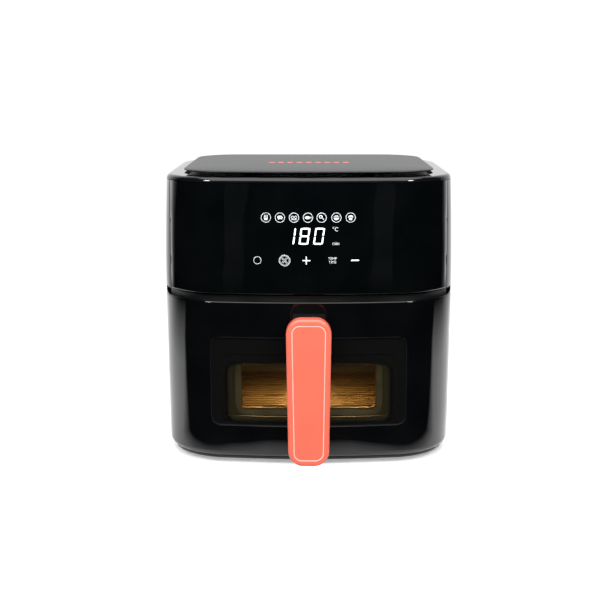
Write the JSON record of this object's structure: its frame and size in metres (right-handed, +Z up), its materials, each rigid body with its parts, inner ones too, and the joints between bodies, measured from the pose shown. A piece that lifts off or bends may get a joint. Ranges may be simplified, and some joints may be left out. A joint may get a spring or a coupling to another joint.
{
  "type": "air fryer",
  "caption": "Rounded gloss black basket air fryer with a touch panel, a lidded air intake on top, a windowed pull-out drawer and an upright coral handle.",
  "frame": {"origin": "middle of the whole object's footprint, on the table", "axes": "+Z up, the front with its handle faces -Y, +X to the right of someone facing its back"},
  "size_m": [0.28, 0.334, 0.2821],
  "materials": {
    "gloss_housing": "high gloss black",
    "rim_plastic": "high gloss black",
    "panel_plastic": "high gloss black, with printed and lit marks",
    "drawer_plastic": "high gloss black",
    "lid_plastic": "fine satin dark grey",
    "satin_plastic": "satin black",
    "foot_rubber": "matt",
    "inlet_rubber": "matt",
    "handle_plastic": "glossy coral",
    "handle_cover_plastic": "glossy coral",
    "outer_glass": "smoked",
    "inner_glass": "clear",
    "lamp_glass": "clear",
    "gold_trim": "polished",
    "pan_coating": "non-stick coating",
    "plate_coating": "non-stick coating",
    "silicone": "matt",
    "sheet_metal": "galvanised",
    "element_metal": "heat stained",
    "wire_metal": "bright wire",
    "machined_metal": "turned",
    "fan_aluminium": "pressed",
    "board_laminate": "green laminate",
    "white_plastic": "moulded",
    "winding": "lacquered winding",
    "plunger_plastic": "moulded"
  },
  "bodies": {
    "housing": {"housing_shell": "gloss_housing", "base_plate": "satin_plastic", "foot_front_left": "foot_rubber", "foot_front_right": "foot_rubber", "foot_rear_left": "foot_rubber", "foot_rear_right": "foot_rubber", "top_frame": "rim_plastic", "intake_tray": "satin_plastic", "top_cover": "lid_plastic", "control_panel": "panel_plastic", "control_board": "board_laminate", "display_module": "white_plastic", "touch_spring_1": "wire_metal", "touch_spring_2": "wire_metal", "touch_spring_3": "wire_metal", "touch_spring_4": "wire_metal", "touch_spring_5": "wire_metal", "power_board": "board_laminate", "relay": "satin_plastic", "transformer": "winding", "chamber_dish": "sheet_metal", "heating_element": "element_metal", "element_guard": "wire_metal", "motor_bracket": "sheet_metal", "motor_stator": "machined_metal", "thermal_cutout": "white_plastic", "temperature_sensor": "machined_metal", "cavity_liner": "sheet_metal", "cavity_roof": "satin_plastic", "rail_left": "sheet_metal", "rail_right": "sheet_metal", "lamp_holder": "white_plastic", "lamp_bulb": "lamp_glass", "lamp_lens": "lamp_glass", "drawer_switch": "satin_plastic", "rear_vent_grille": "satin_plastic", "cord_inlet": "inlet_rubber"},
    "fan": {"rotor_shaft": "machined_metal", "convection_fan": "fan_aluminium", "cooling_fan": "satin_plastic", "fan_nut": "machined_metal"},
    "drawer": {"drawer_front": "drawer_plastic", "drawer_liner": "satin_plastic", "outer_window": "outer_glass", "window_gasket": "silicone", "pan": "pan_coating", "inner_window": "inner_glass", "inner_window_frame": "gold_trim", "handle_grip": "handle_plastic", "handle_cover": "handle_cover_plastic", "handle_neck": "satin_plastic", "handle_screw_lower": "machined_metal", "handle_screw_upper": "machined_metal"},
    "plate": {"crisper_plate": "plate_coating", "bumper_front_left": "silicone", "bumper_front_right": "silicone", "bumper_rear_left": "silicone", "bumper_rear_right": "silicone"},
    "plunger": {"switch_plunger": "plunger_plastic"}
  },
  "joints": [
    {"name": "drawer_slide", "type": "slide", "parent": "housing", "child": "drawer", "axis": [0, -1, 0], "range_m": [0, 0.27]},
    {"name": "plate_lift", "type": "slide", "parent": "drawer", "child": "plate", "axis": [0, 0, 1], "range_m": [0, 0.085]},
    {"name": "fan_spin", "type": "hinge", "parent": "housing", "child": "fan", "pos_m": [0, 0.0205, 0.2], "axis": [0, 0, 1], "continuous": true},
    {"name": "switch_travel", "type": "slide", "parent": "housing", "child": "plunger", "axis": [0, -1, 0], "range_m": [0, 0.0024]}
  ],
  "couplings": [
    {"joint": "switch_travel", "follows": "drawer_slide", "ratio": 0.008}
  ]
}
